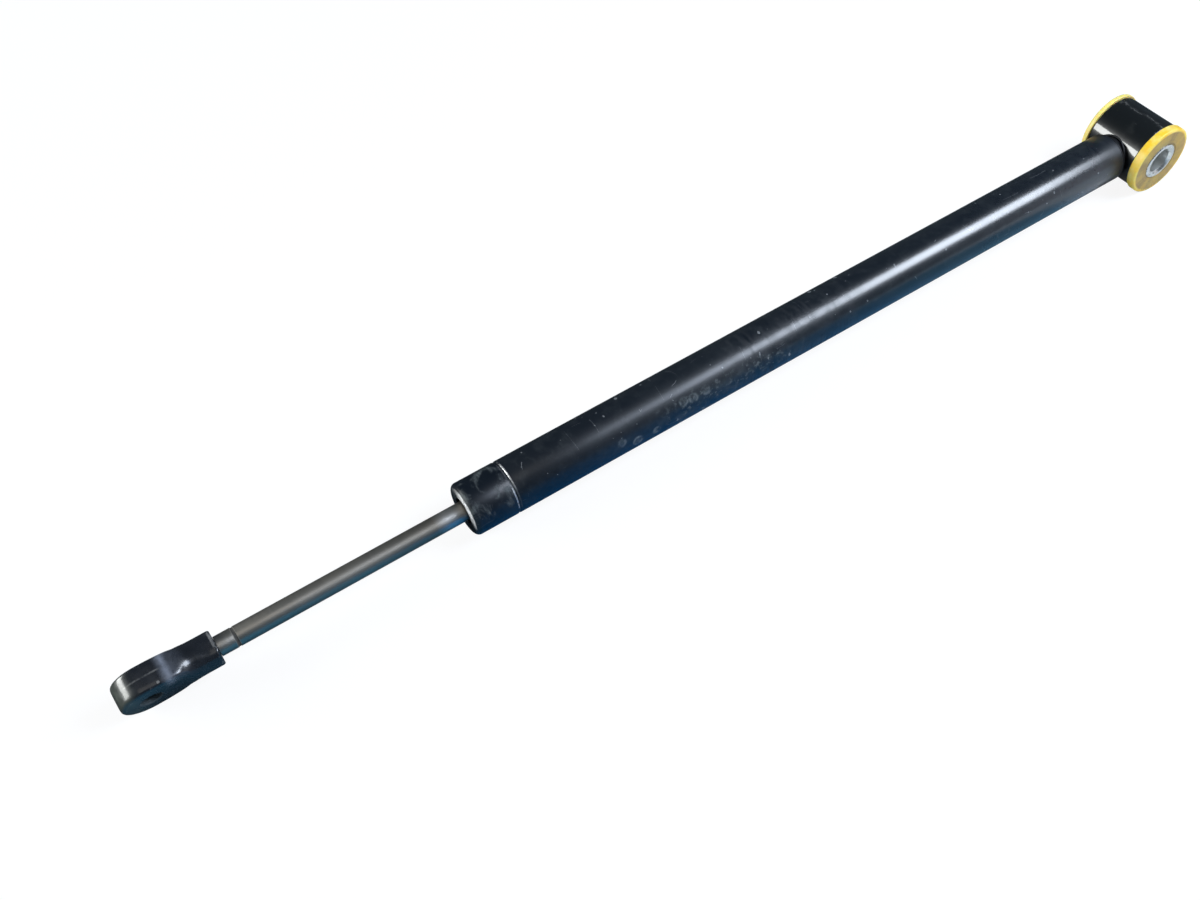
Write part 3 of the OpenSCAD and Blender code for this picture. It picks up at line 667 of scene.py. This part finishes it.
def makeTube():
    tube = {"outer": 14.0, "bore": 12.5, "lipOpening": 7.0, "lipThickness": 1.5, "lipRounding": 0.3,
            "corner": 2.6, "grooveDepth": 0.5, "grooveHalf": 0.80, "endRounding": 0.7,
            "boreEdge": 0.1}
    mouth, base, groove = strut["tubeMouth"], strut["tubeBase"], strut["lockGroove"]
    outer, bore, corner = tube["outer"], tube["bore"], tube["corner"]
    soft, endSoft, edge = tube["lipRounding"], tube["endRounding"], tube["boreEdge"]
    lipInside = mouth + tube["lipThickness"]
    bend = corner - tube["lipThickness"]
    outline = arc((mouth + soft, tube["lipOpening"] + soft), soft, 270, 180, 3)
    outline += arc((mouth + corner, outer - corner), corner, 180, 90, 10)
    for share in range(13):  # the rolled groove is a soft cosine dip with rounded shoulders
        angle = math.pi * (share / 6 - 1)
        dip = tube["grooveDepth"] * (0.5 + 0.5 * math.cos(angle)) ** 0.7
        outline.append((groove + tube["grooveHalf"] * angle / math.pi, outer - dip))
    outline += [(station, outer) for station in (-380.0, -300.0, -200.0, -100.0)]
    outline += arc((base - endSoft, outer - endSoft), endSoft, 90, 0, 5)
    outline += [(base, bore + edge), (base - edge, bore), (-200.0, bore)]
    outline += arc((lipInside + bend, bore - bend), bend, 90, 180, 4)
    outline += arc((lipInside - soft, tube["lipOpening"] + soft), soft, 0, -90, 3)
    piece = turnPiece("strutTube", outline, steps=160)
    dress(piece, tubePaint, "cylinder", "black_paint", "pressure_tube")


def makeDustLip():
    wiper = {"outer": 8.85, "rod": 5.06, "front": -454.6, "back": -450.0}
    front, back, outer, rod = wiper["front"], wiper["back"], wiper["outer"], wiper["rod"]
    # depth and radius over its face: the lip on the rod, a hollow, and the outer rim
    face = [(0.2, rod), (0, 5.3), (0.1, 5.9), (1.2, 6.5), (1.3, 7.2), (0.3, 7.8), (0.1, 8.6),
            (0.35, outer)]
    outline = [(back, rod)] + [(front + depth, radius) for depth, radius in face] + [(back, outer)]
    piece = turnPiece("dustLip", outline, steps=96)
    dress(piece, sealRubber, "cylinder", "seal_rubber", "rod_wiper")


makeTube()
makeDustLip()
print("tube and dust lip made")


def makeRod():
    rod = {"radius": 5.0, "spigot": 4.0, "eyeEnd": -597.5, "shoulder": -417.9, "pistonEnd": -394.9,
           "grooveHalf": 0.55, "grooveDepth": 0.25, "grooveRounding": 0.15, "spigotEdge": 0.5,
           "eyeEdge": 0.2, "shoulderEdge": 0.3, "eyeGap": 0.1}
    radius, spigot, shoulder = rod["radius"], rod["spigot"], rod["shoulder"]
    edge, soft, eased = rod["spigotEdge"], rod["grooveRounding"], rod["shoulderEdge"]
    fitting = strut["fittingEnd"] + rod["eyeGap"]
    near = strut["markGroove"] - rod["grooveHalf"]
    far = strut["markGroove"] + rod["grooveHalf"]
    floor = radius - rod["grooveDepth"]
    outline = [(rod["eyeEnd"], 0), (rod["eyeEnd"], spigot - edge), (rod["eyeEnd"] + edge, spigot),
               (fitting, spigot), (fitting, radius - rod["eyeEdge"]),
               (fitting + rod["eyeEdge"], radius)]
    outline += arc((near - soft, radius - soft), soft, 90, 0, 3)
    outline += arc((near + soft, floor + soft), soft, 180, 270, 3)
    outline += arc((far - soft, floor + soft), soft, 270, 360, 3)
    outline += arc((far + soft, radius - soft), soft, 180, 90, 3)
    outline += [(station, radius) for station in (-540.0, -500.0, -460.0, shoulder - eased)]
    outline += [(shoulder, radius - eased), (shoulder, spigot), (rod["pistonEnd"] - edge, spigot),
                (rod["pistonEnd"], spigot - edge), (rod["pistonEnd"], 0)]
    piece = turnPiece("rodShaft", outline, steps=96)
    dress(piece, rodSteel, "rod", "rod_steel", "piston_rod")


def makeFlatEye():
    eye = {"radius": 13.8, "halfThickness": 6.75, "bore": 5.1, "boreChamfer": 0.6,
           "neckHalf": 8.0, "neckRadius": 9.15, "endRadius": 8.2, "runOut": 12.0,
           "flatReach": 14.0, "flare": 10.0, "spigotBore": 4.1, "spigotDepth": 14.0,
           "endCone": 11.0, "overrun": 12.0, "toolHalf": 30.0,
           "forgingVoxel": 0.45, "forging": 95, "voxel": 0.35, "softening": 8}
    centre, end, before = strut["flatEye"], strut["fittingEnd"], strut["tip"] - 2
    past = end + eye["overrun"]  # the stock runs past the end face, which is cut back later
    runOut, half, deep = centre + eye["flatReach"], eye["halfThickness"], eye["toolHalf"]
    neck, flare, wide = eye["neckRadius"], eye["flare"], eye["neckHalf"]
    # the sides swell a little past the round eye, then draw in to the squarish neck
    draws = [(6.0, 13.6), (9.0, 13.35), (12.0, 12.85), (15.0, 12.05), (18.0, 11.1), (21.0, 10.15),
             (24.0, 9.3), (27.0, 8.6), (30.0, wide), (past - centre, wide)]
    side = arc((centre, 0), eye["radius"], 78, 282, 72)
    side += [(centre + reach, -height) for reach, height in draws]
    side += [(centre + reach, height) for reach, height in reversed(draws)]
    piece = raisePlate("flatEye", [(x * mm, -deep * mm, z * mm) for x, z in side],
                       (0, 2 * deep * mm, 0))
    rise = math.degrees(math.acos(1 - (wide - half) / eye["runOut"]))
    flats = [(before, half)]
    flats += arc((runOut, half + eye["runOut"]), eye["runOut"], 270, 270 + rise, 12)
    flats += [(past + 2, wide)]
    flats += [(x, -y) for x, y in reversed(flats)]
    cutWith(piece, raisePlate("flatShape", [(x * mm, y * mm, -deep * mm) for x, y in flats],
                              (0, 0, 2 * deep * mm)), "INTERSECT")
    turned = [(before, 0), (before, neck + flare), (runOut, neck + flare)]
    turned += arc((runOut + flare, neck + flare), flare, 180, 270, 24)[1:]
    turned += [(past + 1, neck), (past + 1, 0)]
    cutWith(piece, turnPiece("neckShape", turned, steps=128), "INTERSECT")
    useModifier(piece, "REMESH", mode="VOXEL", voxel_size=eye["forgingVoxel"] * mm)
    useModifier(piece, "SMOOTH", factor=0.5, iterations=eye["forging"])  # broad forged edges
    cone, broad = eye["endCone"], eye["endRadius"] + eye["endCone"]
    chamfered = [(before - 2, 0), (before - 2, broad), (end - cone, broad), (end, eye["endRadius"]),
                 (end, 0)]
    cutWith(piece, turnPiece("endShape", chamfered, steps=128), "INTERSECT")
    useModifier(piece, "REMESH", mode="VOXEL", voxel_size=eye["voxel"] * mm)
    useModifier(piece, "SMOOTH", factor=0.5, iterations=eye["softening"])

    chamfer, bore, outside = eye["boreChamfer"], eye["bore"], half + 1
    widest = bore + chamfer + 1
    boreTool = turnPiece("boreTool", [(-outside, 0), (-outside, widest), (-half + chamfer, bore),
                                      (half - chamfer, bore), (outside, widest), (outside, 0)],
                         "Y", 72)
    boreTool.location = (centre * mm, 0, 0)
    cutWith(piece, boreTool)
    bottom, socket = end - eye["spigotDepth"], eye["spigotBore"]
    cutWith(piece, turnPiece("spigotTool", [(bottom, 0), (bottom, socket), (end + 1, socket),
                                            (end + 1, 0)], "X", 72))
    clearSelection()
    piece.select_set(True)
    bpy.context.view_layer.objects.active = piece
    piece.rotation_euler = (math.radians(strut["eyeTurn"]), 0, 0)
    bpy.ops.object.transform_apply(location=True, rotation=True, scale=True)
    bpy.ops.object.shade_smooth_by_angle(angle=math.radians(40))
    dress(piece, eyePaint, "rod", "eye_enamel", "rod_eye")


makeRod()
makeFlatEye()
print("rod and flat eye made")


def makeBarrel():
    barrel = {"radius": 20.0, "bore": 16.5, "half": 16.4, "edge": 0.6, "boreEdge": 0.2}
    radius, bore, half = barrel["radius"], barrel["bore"], barrel["half"]
    edge, eased = barrel["edge"], barrel["boreEdge"]
    outline = [(-half, bore + eased), (-half + eased, bore), (half - eased, bore),
               (half, bore + eased)]
    outline += arc((half - edge, radius - edge), edge, 0, 90, 6)
    outline += arc((-half + edge, radius - edge), edge, 90, 180, 6)
    piece = turnPiece("eyeBarrel", outline, "Y", 160)
    dress(piece, barrelPaint, "cylinder", "black_paint", "eye_barrel")
    return piece


def makePlug():
    plug = {"inner": -38.8, "body": 12.4, "bodyEdge": 0.5, "shoulder": -22.7, "neck": 11.4,
            "neckEdge": 0.3, "taper": 1.6, "root": 10.9, "end": -10.0, "barrelCut": 17.2,
            "cutHalf": 30}
    inner, body, shoulder, neck = plug["inner"], plug["body"], plug["shoulder"], plug["neck"]
    edge, eased, cut, reach = plug["bodyEdge"], plug["neckEdge"], plug["barrelCut"], plug["cutHalf"]
    outline = [(inner, 0), (inner, body - edge), (inner + edge, body), (shoulder, body),
               (shoulder, neck + eased), (shoulder + eased, neck),
               (shoulder + plug["taper"], plug["root"]), (plug["end"], plug["root"]),
               (plug["end"], 0)]
    piece = turnPiece("tubePlug", outline, steps=128)
    cutWith(piece, turnPiece("barrelShape", [(-reach, 0), (-reach, cut), (reach, cut), (reach, 0)],
                             "Y", 160))
    dress(piece, weldPaint, "cylinder", "black_paint", "base_plug")


def makeWelds(barrel):
    weld = {"ring": 11.3, "bead": 0.7, "clearOfBarrel": -24.0, "lift": 0.2,
            "baseRing": 13.2, "baseBead": 0.6, "baseStation": -22.4}
    clearSelection()
    bpy.ops.mesh.primitive_circle_add(vertices=240, radius=weld["ring"] * mm,
                                      location=(weld["clearOfBarrel"] * mm, 0, 0),
                                      rotation=(0, math.radians(90), 0))
    saddle = bpy.context.object
    saddle.name = "saddleWeld"
    bpy.ops.object.transform_apply(location=True, rotation=True, scale=True)
    useModifier(saddle, "SHRINKWRAP", target=barrel, wrap_method="PROJECT", use_project_x=True,
                use_project_y=False, use_project_z=False, use_positive_direction=True,
                use_negative_direction=False, offset=weld["lift"] * mm)
    clearSelection()
    saddle.select_set(True)
    bpy.context.view_layer.objects.active = saddle
    bpy.ops.object.convert(target="CURVE")
    saddle.data.bevel_depth = weld["bead"] * mm
    saddle.data.bevel_resolution = 4
    bpy.ops.object.convert(target="MESH")
    bpy.ops.object.shade_smooth()
    dress(saddle, weldPaint, "cylinder", "black_paint", "barrel_weld")
    bead = arc((weld["baseStation"], weld["baseRing"]), weld["baseBead"], 0, 337.5, 15)
    ring = turnPiece("tubeEndWeld", bead, steps=180)
    dress(ring, weldPaint, "cylinder", "black_paint", "base_weld")


def makeBush(name, side, flange, node):
    bush = {"body": 16.4, "bodyEdge": 0.3, "flangeRadius": 20.9, "inner": 10.78, "split": 0.3,
            "flangeStart": 16.5, "outerRounding": 1.2, "innerRounding": 0.45, "faceRing": 15.0,
            "recess": 0.3, "recessRadius": 11.9}
    start, body, split, edge = bush["flangeStart"], bush["body"], bush["split"], bush["bodyEdge"]
    inner, rim, soft = bush["inner"], bush["flangeRadius"], bush["outerRounding"]
    back, recess, dip = bush["innerRounding"], bush["recessRadius"], bush["recess"]
    face = start + flange
    outline = [(split, inner), (split, body - edge), (split + edge, body), (start, body)]
    outline += arc((start + back, rim - back), back, 180, 90, 4)
    outline += arc((face - soft, rim - soft), soft, 90, 0, 8)
    # the face steps down softly to a shallow recess around the sleeve
    outline += [(face, bush["faceRing"]), (face, recess), (face - dip * 0.7, recess - 0.25),
                (face - dip, recess - 0.6), (face - dip, inner)]
    piece = turnPiece(name, [(side * a, r) for a, r in outline], "Y", 160)
    dress(piece, urethane, "cylinder", "polyurethane", node)


def makeSleeve():
    sleeve = {"radius": 10.7, "bore": 7.25, "half": 21.8, "chamfer": 1.3, "edge": 0.4}
    half, bore, radius = sleeve["half"], sleeve["bore"], sleeve["radius"]
    chamfer, edge = sleeve["chamfer"], sleeve["edge"]
    # half of the profile, with each corner eased by a few hundredths
    outline = [(half - chamfer - 0.1, bore), (half - chamfer + 0.05, bore + 0.04),
               (half - 0.08, bore + chamfer - 0.03), (half, bore + chamfer + 0.1),
               (half, radius - edge - 0.1), (half - 0.08, radius - edge + 0.08),
               (half - edge, radius)]
    outline += [(-a, r) for a, r in reversed(outline)]
    piece = turnPiece("pivotSleeve", outline, "Y", 128, 25)
    dress(piece, zincPlate, "sleeve", "zinc_plate", "eye_sleeve")


makePlug()
makeWelds(makeBarrel())
makeBush("bushNear", -1, 5.0, "bush_near")
makeBush("bushFar", 1, 3.0, "bush_far")
makeSleeve()
print("bushed eye made")


def makeFloor():
    floor = {"size": 12.0, "place": (-0.3, 0, -0.0181), "tilt": 0.565,
             "pale": (0.62, 0.66, 0.70, 1), "own": 0.2, "glow": 0.9, "mirrored": 0.16,
             "teal": (0.042, 0.185, 0.30, 1), "deep": (0.012, 0.215, 0.54, 1),
             "slate": (0.11, 0.24, 0.34, 1), "light": (0.50, 0.53, 0.55, 1),
             "behind": (0.035, 0.045, 0.05, 1), "black": (0, 0, 0, 1), "white": (1, 1, 1, 1)}
    clearSelection()
    bpy.ops.mesh.primitive_plane_add(size=floor["size"], location=floor["place"],
                                     rotation=(0, math.radians(floor["tilt"]), 0))
    piece = bpy.context.object
    piece.name = "paleFloor"
    bpy.ops.object.transform_apply(location=True, rotation=True, scale=True)
    material = bpy.data.materials.new("paleFloor")
    material.use_nodes = True
    tree = material.node_tree
    tree.nodes.clear()
    rays = addNode(tree, "LightPath")
    camera = rays.outputs["Is Camera Ray"]
    seen = larger(tree, rays.outputs["Is Glossy Ray"], rays.outputs["Is Transmission Ray"], camera)
    spot = addNode(tree, "TexCoord").outputs["Object"]
    along, across = axesOf(tree, spot)[:2]
    # mirror rays see darker blue bands along the strut, and a painted shade on the floor behind it
    bands = [(-0.47, -0.45, "deep"), (-0.36, -0.13, "slate"), (-0.06, -0.02, "light")]
    tint = floor["teal"]
    for low, high, tone in bands:
        tint = mixColour(tree, remap(tree, along, low, high), tint, floor[tone])
    tint = mixColour(tree, remap(tree, across, 0.0, -0.02), floor["behind"], tint)
    weak = mixColour(tree, floor["mirrored"], floor["black"], tint)
    # the camera sees a faint floor that glows, and its far edge melts into the white
    faint = mixColour(tree, floor["own"], floor["black"], floor["pale"])
    glowing = remap(tree, lengthOf(tree, spot), 1.2, 3.5, floor["glow"], 1.0)
    bright = mixColour(tree, glowing, floor["black"], floor["white"])
    plain = addNode(tree, "BsdfDiffuse", {0: floor["pale"]}).outputs[0]
    own = addNode(tree, "BsdfDiffuse", {0: mixColour(tree, camera, tint, faint)}).outputs[0]
    glow = addNode(tree, "Emission", {0: mixColour(tree, camera, weak, bright)}).outputs[0]
    shown = addNode(tree, "AddShader", {0: own, 1: glow}).outputs[0]
    surface = addNode(tree, "MixShader", {0: seen, 1: plain, 2: shown}).outputs[0]
    output = addNode(tree, "OutputMaterial")
    tree.links.new(surface, output.inputs[0])
    piece.data.materials.append(material)


def makeLamps():  # brightness is power over pi and the lamp's own area
    lamps = {
        "softBox": {"place": (0.50, -0.48, 0.87), "aim": (-0.15, 0, 0), "along": (0.95, 0, -0.3),
                    "size": (0.62, 0.50), "shine": 15.5, "colour": (0.80, 0.88, 1.0)},
        "sideStrip": {"place": (0.14, -0.54, 0.97), "aim": (-0.3, 0, 0), "along": (1, 0, -0.1),
                      "size": (0.30, 0.40), "shine": 4.3, "colour": (0.62, 0.74, 1.0)},
        "overhead": {"place": (-0.08, -0.55, 1.02), "aim": (-0.3, 0, 0), "along": (1, 0, 0),
                     "size": (0.56, 0.40), "shine": 0.62, "colour": (0.85, 0.92, 1.0)},
        "rodPanel": {"place": (-0.82, -0.40, 1.08), "aim": (-0.6, 0, 0), "along": (1, 0, 0),
                     "size": (0.62, 0.66), "shine": 0.72, "colour": (1.0, 0.95, 0.88)},
        "window": {"place": (-2.4, 0.90, 0.78), "aim": (-0.2, 0, 0), "along": (0.35, 1, 0),
                   "size": (1.45, 0.86), "shine": 14.0, "colour": (0.98, 1.0, 0.98)},
        "frontFill": {"place": (1.15, -1.05, 0.22), "aim": (0, 0, 0), "along": (1, 0.9, 0),
                      "size": (0.7, 0.7), "shine": 0.52, "colour": (0.93, 0.92, 1.0)},
    }
    for name, lamp in lamps.items():
        clearSelection()
        away = (Vector(lamp["place"]) - Vector(lamp["aim"])).normalized()
        upward = away.cross(Vector(lamp["along"])).normalized()
        turn = Matrix((upward.cross(away), upward, away)).transposed().to_euler()
        bpy.ops.object.light_add(type="AREA", location=lamp["place"], rotation=turn)
        light = bpy.context.object
        light.name = name
        light.data.shape = "RECTANGLE"
        light.data.size, light.data.size_y = lamp["size"]
        light.data.energy = lamp["shine"] * math.pi * lamp["size"][0] * lamp["size"][1]
        light.data.color = lamp["colour"]
        light.visible_camera = False
    studio = {"sky": (0.66, 0.82, 1.0, 1), "strength": 0.09, "white": (1, 1, 1, 1)}
    world = bpy.data.worlds.new("studio")
    bpy.context.scene.world = world
    world.use_nodes = True
    tree = world.node_tree
    tree.nodes.clear()
    camera = addNode(tree, "LightPath").outputs["Is Camera Ray"]
    sky = addNode(tree, "Background", {0: studio["sky"], 1: studio["strength"]}).outputs[0]
    white = addNode(tree, "Background", {0: studio["white"], 1: 1.0}).outputs[0]
    shown = addNode(tree, "MixShader", {0: camera, 1: sky, 2: white}).outputs[0]
    tree.links.new(shown, addNode(tree, "OutputWorld").inputs[0])


def makeCamera():
    view = {"place": (-0.58083, -0.34823, 0.50534), "turn": (37.877, 2.709, -33.705),
            "lens": 38.84}
    clearSelection()
    bpy.ops.object.camera_add(location=view["place"],
                              rotation=[math.radians(a) for a in view["turn"]])
    camera = bpy.context.object
    camera.data.lens = view["lens"]
    camera.data.sensor_width = 36
    camera.data.clip_start = 0.01
    bpy.context.scene.camera = camera


makeFloor()
makeLamps()
makeCamera()
bpy.context.scene.view_settings.view_transform = "Standard"
print("floor, lamps and camera placed")
